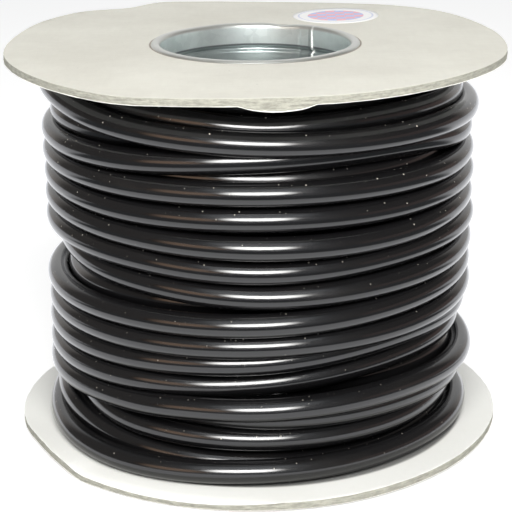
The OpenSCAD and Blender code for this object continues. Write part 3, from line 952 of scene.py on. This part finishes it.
def outline_at(angle, rim, seed, rough, edge_rows, bottom, top):
    """Radius and height of one section of a ply, from the hub round the rim and back."""
    radii = [min(r, HUB + (r - HUB) * (rim - 0.3 - HUB) / (99.7 - HUB)) for r in SPANS]
    cut_edge = []
    for row in range(edge_rows + 1):
        share = row / edge_rows
        fray = rough * 0.8 * rim_noise(angle, seed + 11 + 3 * share, 90)
        bulge = math.sin(math.pi * share) * 0.12
        cut_edge.append((rim + bulge + fray, top + (bottom - top) * share))
    return [(r, top) for r in radii] + cut_edge + [(r, bottom) for r in reversed(radii)]


def warped_disc(name, node, material, flange, step, edge_rows, rough, seed, spread=0.0):
    bottom, top = levels(node)
    angles = np.arange(-180, 180, step)
    rims = smooth_through(flange["edge"], angles, 360)
    lifts = smooth_through(flange["lift"], angles, 360)
    points, faces = [], []
    for angle, rim, rise in zip(angles, rims, lifts):
        c, s = math.cos(math.radians(angle)), math.sin(math.radians(angle))
        rim += spread + rough * (rim_noise(angle, seed, 14) + 0.7 * rim_noise(angle, seed + 5, 60))
        walk = outline_at(angle, rim, seed, rough, edge_rows, bottom, top)
        for r, z in walk:
            near_rim = min(1.0, max(0.0, (r - rim + 3) / 3)) ** 1.5
            sunk = flange["damage"](angle, z) * near_rim
            raised = z + rise * warp_share(r, flange["held"]) - sunk
            points.append((c * r * MM, s * r * MM, raised * MM))
    count, around = len(walk), len(angles)
    for s in range(around):
        a, b = s * count, ((s + 1) % around) * count
        faces += [(a + k, a + (k + 1) % count, b + (k + 1) % count, b + k) for k in range(count)]
    piece = new_piece(name, points, faces, material)
    piece.data.set_sharp_from_angle(angle=math.radians(38))
    return piece


print("rings of points on a face:", len(SPANS))

# %% [markdown]
# ## The plies of both flanges
# Each flange is one board with a facing outside and a liner inside, all of them warped by
# the same nails. On the upper flange the papers reach a hair past the board, because their
# edges have frayed. The lower flange carries the reel, so it is held flat further out.

# %% Boards and papers
UPPER = dict(lift=upper_lift, edge=upper_edge, held=46, damage=torn)
LOWER = dict(lift=lower_lift, edge=lower_edge, held=80, damage=pressed)
BOARD = dict(step=0.75, edge_rows=7, rough=0.22)
PAPER = dict(step=1.0, edge_rows=2)
upper_board = warped_disc("upper_board", "upper_flange_board", board_finish, UPPER, seed=1, **BOARD)
upper_facing = warped_disc("upper_facing_paper", "upper_flange_facing", facing_finish, UPPER,
                           rough=0.12, seed=2, spread=0.05, **PAPER)
upper_liner = warped_disc("upper_liner_paper", "upper_flange_liner", liner_finish, UPPER,
                          rough=0.25, seed=3, spread=0.15, **PAPER)
lower_board = warped_disc("lower_board", "lower_flange_board", board_finish, LOWER, seed=4, **BOARD)
lower_facing = warped_disc("lower_facing_paper", "lower_flange_facing", facing_finish, LOWER,
                           rough=0.12, seed=5, **PAPER)
lower_liner = warped_disc("lower_liner_paper", "lower_flange_liner", liner_finish, LOWER,
                          rough=0.15, seed=6, **PAPER)
print("flange pieces:", upper_board.name, lower_board.name, "and four papers")

# %% [markdown]
# ## The rolled barrel
# The barrel is sheet steel rolled into a pipe. Near each end a bead is swaged into the
# paper tube behind it, and the ends are curled outwards and hammered down over the flanges.
# The sheet is drawn as a line from one lip to the other, turned round the axis, and
# then given its thickness. Every bend is an arc whose radius grows or shrinks by half of
# the sheet, so the wall stays equally thick all the way. The lower half mirrors the upper.

# %% Line of the sheet
WALL_R, SHEET = 38.25, 0.5  # middle of the wall, and its thickness, in mm
FILLET, BEAD, BEAD_TURN = 0.65, 1.0, 75  # bend radii of the swaged bead, and its half angle
BEAD_INSET, LIP_DROP = 9.55, 0.5  # below the face of the flange
LIP_BEND, LIP_FLAT, LIP_TURN = 1.25, 0.8, 22  # bend radius, flat crown, and where the curl ends


def bent(r, z, size, start, stop, steps=7):
    return [(r + size * math.cos(math.radians(a)), z + size * math.sin(math.radians(a)))
            for a in np.linspace(start, stop, steps)]


def sheet_line(off):
    """Half of the sheet from the middle up, as radius and height over the middle of the reel."""
    span = FILLET + BEAD
    half_h = span * math.sin(math.radians(BEAD_TURN))
    centre = WALL_R + FILLET - span * math.cos(math.radians(BEAD_TURN))
    bead_z, lip_z = UPPER_FACE - MIDDLE - BEAD_INSET, UPPER_FACE - MIDDLE - LIP_DROP
    line = [(WALL_R + off, h) for h in np.linspace(0, bead_z - half_h, 12)[:-1]]
    line += bent(WALL_R + FILLET, bead_z - half_h, FILLET - off, 180, 180 - BEAD_TURN)
    line += bent(centre, bead_z, BEAD + off, -BEAD_TURN, BEAD_TURN, 11)[1:-1]
    line += bent(WALL_R + FILLET, bead_z + half_h, FILLET - off, 180 + BEAD_TURN, 180)
    line += [(WALL_R + off, h) for h in np.linspace(bead_z + half_h, lip_z, 6)[1:-1]]
    line += bent(WALL_R + LIP_BEND, lip_z, LIP_BEND - off, 180, 90, 9)
    line += bent(WALL_R + LIP_BEND + LIP_FLAT, lip_z, LIP_BEND - off, 90, LIP_TURN, 8)
    return line


def both_halves(line):
    return [(r, -z) for r, z in reversed(line[1:])] + line


profile = both_halves(sheet_line(SHEET / 2)) + both_halves(sheet_line(-SHEET / 2))[::-1]
print("barrel outline has", len(profile), "points")

# %% [markdown]
# ## The lock seam and the finished barrel
# Where the two edges of the sheet hook together they make a flat band down the inside of
# the bore. It is pressed a little proud of the wall, between two small creases. The
# radius of the sheet is changed there by a smooth rule, so the seam is real shape and not
# only a picture on the metal. Lips hammered by hand are a little wavy, and one dent sits
# beside the seam.

# %% Barrel
DENT_AT, DENT_HALF, DENT_DEPTH = 72, 7, 0.7  # degrees, degrees, mm


def seam_push(angle):
    """How far the seam stands in towards the axis, in mm, with a groove at each edge."""
    off = abs((angle - SEAM_AT + 180) % 360 - 180)
    body = 0.32 * (1 - min(1.0, max(0.0, (off - SEAM_HALF + 1.2) / 1.2)) ** 2)
    groove = 0.18 * math.exp(-(((off - SEAM_HALF - 0.6) / 0.7) ** 2))
    return max(0.0, body) - groove


def lip_wave(angle):
    """How far the lip stands above its true height, in mm, which is never more than 0."""
    wave = 0.5 * rim_noise(angle, 21, 2.2) + 0.25 * rim_noise(angle, 23, 6.0)
    dent = DENT_DEPTH * math.exp(-(((angle - DENT_AT) / DENT_HALF) ** 2))
    return min(0.0, 0.35 * wave - 0.08) - dent


by_seam = np.arange(SEAM_AT - 9, SEAM_AT + 9, 0.4)
angle_rows = np.unique(np.concatenate([np.arange(0, 360, 1.5), by_seam]))
points, faces = [], []
for angle in angle_rows:
    c, s = math.cos(math.radians(angle)), math.sin(math.radians(angle))
    seam, wave = seam_push(angle), lip_wave(angle)
    for r, z in profile:
        lip = min(1.0, max(0.0, (abs(z) - 77.0) / 2.2))
        seam_here = seam * (1 - min(1.0, max(0.0, (abs(z) - 74.5) / 3.0)))
        dent = 0.06 * noise.noise(Vector((c * 3, s * 3, z / 18)))
        radius_here = r - seam_here + dent * (1 - lip)
        height_here = MIDDLE + z + (wave if z > 0 else -wave) * lip**2
        points.append((radius_here * c * MM, radius_here * s * MM, height_here * MM))
count, around = len(profile), len(angle_rows)
for s in range(around):
    a, b = s * count, ((s + 1) % around) * count
    faces += [(a + k, b + k, b + (k + 1) % count, a + (k + 1) % count) for k in range(count)]
rolled_barrel = new_piece("rolled_barrel", points, faces, zinc_finish)
rolled_barrel.data.set_sharp_from_angle(angle=math.radians(50))
print("barrel has", len(faces) * 2, "triangles")

# %% [markdown]
# ## Print of the round label
# A paper label sits on the upper flange. It is printed with a plain chequer of pale blue
# and pink, with a thin ring round it on white paper. The pattern is centred on the label
# with a Mapping node, and cut to a circle by its distance from there.

# %% Finish: label
LABEL_X, LABEL_Y, LABEL_R = 35.17, 59.71, 18.5
CHEQUER_R, RING_R = 12.1, 16.0

label_finish, tree, shader, place = finish("printed_label", Roughness=0.55)
spot = stretch(tree, place["Object"], (1, 1, 1), (-LABEL_X * MM, -LABEL_Y * MM, 0))
flat_spot = put(tree, "ShaderNodeVectorMath", {0: spot, 1: (1, 1, 0)}, operation="MULTIPLY").outputs[0]
out = length_of(tree, flat_spot)
inks = {"Vector": flat_spot, "Color1": (0.80, 0.36, 0.42, 1), "Color2": (0.40, 0.47, 0.78, 1)}
tiles = put(tree, "ShaderNodeTexChecker", {**inks, "Scale": 250.0}).outputs["Color"]
in_chequer = calc(tree, "LESS_THAN", out, CHEQUER_R * MM)
in_ring = calc(tree, "LESS_THAN", apart(tree, out, RING_R * MM), 0.4 * MM)
weave = use_effect(tree, fibres, Vector=place["Object"], Scale=500.0, Contrast=0.6)
white = blend(tree, weave["Tone"], (0.90, 0.90, 0.90, 1), (0.80, 0.80, 0.80, 1))
printed = blend(tree, times(tree, in_chequer, 0.85), white, tiles)
printed = blend(tree, times(tree, in_ring, 0.6), printed, (0.45, 0.50, 0.70, 1))
join(tree, printed, shader["Base Color"])
join(tree, bump(tree, weave["Height"], 0.00003), shader["Normal"])
print("label finish:", label_finish.name)

# %% [markdown]
# ## The round label
# The label is a thin disc of rings and spokes, glued down, so each of its points takes on
# the warp of the board below it. It has two faces and a cut edge, a tenth of a millimetre
# high.

# %% Label
RINGS, SPOKES = 9, 96
LABEL_LEVELS = (UPPER_FACE + 0.1, UPPER_FACE + 0.005)  # top, and just clear of the facing


def board_lift(x, y):
    """How far the warp lifts the upper flange at a place, in mm."""
    rise = smooth_through(upper_lift, np.array([math.degrees(math.atan2(y, x))]), 360)[0]
    return rise * warp_share(math.hypot(x, y), UPPER["held"])


points, faces = [], []
for z in LABEL_LEVELS:
    for ring_no in range(RINGS + 1):
        reach = LABEL_R * ring_no / RINGS
        for k in range(SPOKES):
            a = math.tau * k / SPOKES
            x, y = LABEL_X + reach * math.cos(a), LABEL_Y + reach * math.sin(a)
            points.append((x * MM, y * MM, (z + board_lift(x, y)) * MM))
block, last_ring = (RINGS + 1) * SPOKES, RINGS * SPOKES
for k in range(SPOKES):
    n = (k + 1) % SPOKES
    for ring_no in range(RINGS):
        a, b = ring_no * SPOKES + k, ring_no * SPOKES + n
        faces.append((a, a + SPOKES, b + SPOKES, b))
        faces.append((block + a, block + b, block + b + SPOKES, block + a + SPOKES))
    faces.append((last_ring + k, block + last_ring + k, block + last_ring + n, last_ring + n))
paper_label = new_piece("paper_label", points, faces, label_finish)
print("label is", 2 * LABEL_R, "mm across")

# %% [markdown]
# ## Everything rides on the frame
# Nothing on the reel moves, so every piece rides on the one body. Each piece says which
# solid it stands for, and which of the record's finishes it takes. The paper tube
# is hidden inside and keeps its own solid, with a kraft paper finish.

# %% Ride and replace
dressed = [
    (outer_cable, "cable_sheath", ["outer_winding"]),
    (under_cable, "cable_sheath", ["inner_windings"]),
    (cut_sheath, "cable_sheath", ["cable_end_sheath"]),
    (copper_wires, "copper", ["copper_strands"]),
    (rolled_barrel, "zinc_sheet", ["barrel"]),
    (upper_board, "grey_board", ["upper_flange_board"]),
    (lower_board, "grey_board", ["lower_flange_board"]),
    (upper_facing, "facing_paper", ["upper_flange_facing"]),
    (lower_facing, "facing_paper", ["lower_flange_facing"]),
    (upper_liner, "liner_paper", ["upper_flange_liner"]),
    (lower_liner, "liner_paper", ["lower_flange_liner"]),
    (paper_label, "label_paper", ["round_label"]),
]
dressed += [(coil, "cable_sheath", []) for coil in deep_coils]
for piece, slot, nodes in dressed:
    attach(piece, "root")
    if nodes:
        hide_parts(*nodes)
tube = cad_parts["core_tube"]
tube.data.materials.clear()
tube.data.materials.append(kraft_finish)
print("pieces dressed:", len(dressed))

# %% [markdown]
# ## Screens
# Glossy black shows hardly any colour of its own, so what it mirrors is what one sees. The
# room is therefore built from screens: bare emission materials that light nothing and are
# only there to be mirrored. Each goes dark for a ray that has met a matt surface before,
# so that the screens leave the papers alone and add no noise to them.

# %% Screens


def screen(name, points, faces, **seen):
    """A piece of the stage with an empty emission material, and whether each kind of ray sees it."""
    made = bpy.data.materials.new(name)
    made.use_nodes = True
    made.cycles.emission_sampling = "NONE"
    tree = made.node_tree
    tree.nodes.clear()
    glow = put(tree, "ShaderNodeEmission")
    matt_bounces = put(tree, "ShaderNodeLightPath").outputs["Diffuse Depth"]
    matt_before = calc(tree, "GREATER_THAN", matt_bounces, 0.5)
    unlit = put(tree, "ShaderNodeEmission", {"Strength": 0.0})
    kept = put(tree, "ShaderNodeMixShader", {0: matt_before, 1: glow.outputs[0], 2: unlit.outputs[0]})
    out = put(tree, "ShaderNodeOutputMaterial", {0: kept.outputs[0]})
    piece = new_piece(name, points, faces, made, smooth=False)
    for key, value in seen.items():
        setattr(piece, key, value)
    print("screen:", name)
    return tree, glow, out.inputs[0]


# %% [markdown]
# ## Floor
# The reel stands on a white sheet that ends a little in front of it. A camera sees white
# everywhere. A mirror sees the sheet and its end: the sheet makes the grey band low on
# each turn, and the dark floor beyond it the black over that band. Behind the reel the
# sheet goes on. For matt surfaces and shadows it is plain white paper.

# %% Floor
FLOOR_HALF = 3  # metres
SHEET_SHIFT, SHEET_FULL, SHEET_ENDS = (0.03, 0, 0), 0.24, 0.30  # metres
floor_points = [(x * FLOOR_HALF, y * FLOOR_HALF, 0.0) for x, y in ((-1, -1), (1, -1), (1, 1), (-1, 1))]

tree, glow, surface = screen("white_sheet", floor_points, [(0, 1, 2, 3)])
rays = put(tree, "ShaderNodeLightPath").outputs
mirrored = calc(tree, "MAXIMUM", rays["Is Glossy Ray"], rays["Is Transmission Ray"])
spot = put(tree, "ShaderNodeTexCoord").outputs["Object"]
reach = length_of(tree, stretch(tree, spot, (1, 1, 0), SHEET_SHIFT))
behind = clamp_range(tree, coordinates(tree, spot)[1], 0.04, 0.14)
on_sheet = calc(tree, "MAXIMUM", clamp_range(tree, reach, SHEET_ENDS, SHEET_FULL), behind)
beyond = times(tree, mirrored, calc(tree, "SUBTRACT", 1.0, on_sheet))
light = calc(tree, "MULTIPLY_ADD", rays["Is Camera Ray"], 0.45, times(tree, mirrored, on_sheet))
join(tree, light, glow.inputs["Strength"])
join(tree, blend(tree, mirrored, (1, 1, 1, 1), (0.92, 0.94, 1.0, 1)), glow.inputs["Color"])
matt = put(tree, "ShaderNodeBsdfDiffuse", {"Color": (0.88, 0.88, 0.88, 1)})
both = put(tree, "ShaderNodeAddShader", {0: glow.outputs[0], 1: matt.outputs[0]})
dark = put(tree, "ShaderNodeEmission", {"Color": (0.85, 0.93, 1.0, 1), "Strength": 0.22})
shown = put(tree, "ShaderNodeMixShader", {0: beyond, 1: both.outputs[0], 2: dark.outputs[0]})
join(tree, shown.outputs[0], surface)

# %% [markdown]
# ## World
# The world is white wherever a camera, a mirror or a clear body looks, and an even pale
# light for everything matt. One world shader can do both, because it can ask what kind of
# ray has reached it.

# %% World
world = bpy.data.worlds.new("studio")
bpy.context.scene.world = world
world.use_nodes = True
tree = world.node_tree
tree.nodes.clear()
rays = put(tree, "ShaderNodeLightPath").outputs
camera_or_mirror = calc(tree, "MAXIMUM", rays["Is Camera Ray"], rays["Is Glossy Ray"])
white_for = calc(tree, "MAXIMUM", camera_or_mirror, rays["Is Transmission Ray"])
even = put(tree, "ShaderNodeBackground", {0: (0.97, 0.985, 1.0, 1), 1: 0.40})
white = put(tree, "ShaderNodeBackground", {0: (1, 1, 1, 1), 1: 1.0})
mixed = put(tree, "ShaderNodeMixShader", {0: white_for, 1: even.outputs[0], 2: white.outputs[0]})
put(tree, "ShaderNodeOutputWorld", {0: mixed.outputs[0]})
print("world:", world.name)

# %% [markdown]
# ## Directions in the room
# The room is laid out as seen from the middle of the reel, in degrees to the side and
# degrees up, which is how one would describe where a lamp hangs. A screen is a patch of a
# dome round the reel, and its brightness can depend on how near its points lie to some
# direction.

# %% Directions
EYE = Vector((0, 0, 0.08))  # about the middle of the reel


def towards(turned, raised):
    """Direction from the reel: degrees from the viewer's side, positive to the right, and upwards."""
    a, e = math.radians(turned), math.radians(raised)
    return Vector((math.sin(a) * math.cos(e), -math.cos(a) * math.cos(e), math.sin(e)))


def dome_patch(name, distance, turns, rises, cells=12):
    """A screen that only mirrors can see, on a dome round the reel."""
    points = [EYE + distance * towards(a, e) for a in np.linspace(*turns, cells + 1)
              for e in np.linspace(*rises, cells + 1)]
    corners = [i * (cells + 1) + j for i in range(cells) for j in range(cells)]
    faces = [(a, a + 1, a + cells + 2, a + cells + 1) for a in corners]
    unseen = ("camera", "diffuse", "shadow", "transmission")
    tree, glow, _ = screen(name, points, faces, **{"visible_" + kind: False for kind in unseen})
    return tree, glow.inputs


def bearing(tree):
    """Direction of the point being shaded, as seen from the reel."""
    spot = put(tree, "ShaderNodeTexCoord").outputs["Object"]
    off = put(tree, "ShaderNodeVectorMath", {0: spot, 1: tuple(EYE)}, operation="SUBTRACT").outputs[0]
    return put(tree, "ShaderNodeVectorMath", {0: off}, operation="NORMALIZE").outputs[0]


def alike(tree, way, turned, raised):
    """Cosine of the angle between the shaded point's bearing and a direction."""
    ins = {0: way, 1: tuple(towards(turned, raised))}
    return put(tree, "ShaderNodeVectorMath", ins, operation="DOT_PRODUCT").outputs["Value"]


def nearness(tree, way, turned, raised, widest, full):
    """1 within `full` degrees of a direction, fading to 0 at `widest` degrees."""
    cosine = alike(tree, way, turned, raised)
    return clamp_range(tree, cosine, math.cos(math.radians(widest)), math.cos(math.radians(full)))


print("the viewer's side lies towards", [round(c, 2) for c in towards(0, 0)])

# %% [markdown]
# ## The dark room
# The viewer's side of the room is dark, cool in the middle and warmer to both sides. A
# haze glows round the lamp, the ceiling over it is lit, and behind the reel the room opens
# into white. All of it is one value on one screen, built up term by term.

# %% Dark room
LAMP_TURN, LAMP_RISE = -2, 25  # direction of the lamp

tree, glow = dome_patch("dark_room", 2.2, (-150, 150), (-40, 85), 30)
way = bearing(tree)
parts = coordinates(tree, way)
room = clamp_range(tree, parts[0], -0.3, 0.7, 0.21, 0.13)
to_lamp = calc(tree, "MAXIMUM", alike(tree, way, LAMP_TURN, LAMP_RISE - 8), 0.0)
room = calc(tree, "MULTIPLY_ADD", calc(tree, "POWER", to_lamp, 5.0), 0.8, room)
ceiling = nearness(tree, way, LAMP_TURN, 52, 28, 12)
room = calc(tree, "MULTIPLY_ADD", ceiling, 1.4, room)
room = calc(tree, "MAXIMUM", room, clamp_range(tree, parts[1], 0.40, 0.80))
join(tree, room, glow["Strength"])
to_side = clamp_range(tree, calc(tree, "ABSOLUTE", parts[0]), 0.35, 0.8)
join(tree, blend(tree, to_side, (0.92, 0.96, 1.0, 1), (1.0, 0.93, 0.87, 1)), glow["Color"])

# %% [markdown]
# ## Lamp and coloured things in the room
# The bright line on each turn is the face of a soft lamp, and the brown one to its left is
# a strip of warm wood. Something red to the right lends the sides a little colour. The
# lamp itself is an area light, hidden from mirrors, because its even face would show there
# with hard edges; the screen in its place fades towards its rim.

# %% Lamp, wood and chair
tree, glow = dome_patch("warm_wood", 1.7, (-62, -18), (4, 24))
glow["Color"].default_value = (1.0, 0.68, 0.48, 1)
join(tree, times(tree, nearness(tree, bearing(tree), -38, 14, 23, 8), 2.1), glow["Strength"])

tree, glow = dome_patch("red_chair", 1.7, (50, 122), (-22, 14))
glow["Color"].default_value = (1.0, 0.76, 0.70, 1)
glow["Strength"].default_value = 0.42

lamp_turns = (LAMP_TURN - 24, LAMP_TURN + 24)
tree, glow = dome_patch("lamp_face", 1.1, lamp_turns, (LAMP_RISE - 11, LAMP_RISE + 11))
glow["Color"].default_value = (1.0, 0.99, 0.97, 1)
beam = nearness(tree, bearing(tree), LAMP_TURN, LAMP_RISE, 20.5, 7)
join(tree, times(tree, beam, 30.0), glow["Strength"])

softbox = bpy.data.lights.new("softbox", "AREA")
softbox.shape, softbox.size, softbox.size_y = "RECTANGLE", 0.85, 0.55
softbox.energy, softbox.color = 17.8, (1.0, 0.985, 0.96)
lamp = bpy.data.objects.new("softbox", softbox)
lamp_at = Vector((0.05, -0.95, 0.86))
lamp_turn = (lamp_at - EYE).to_track_quat("Z", "Y").to_matrix().to_4x4()
lamp.matrix_world = Matrix.Translation(lamp_at) @ lamp_turn
lamp.visible_glossy = False
bpy.context.scene.collection.objects.link(lamp)
print("stage is set, lamp at", round((lamp_at - EYE).length, 2), "m")
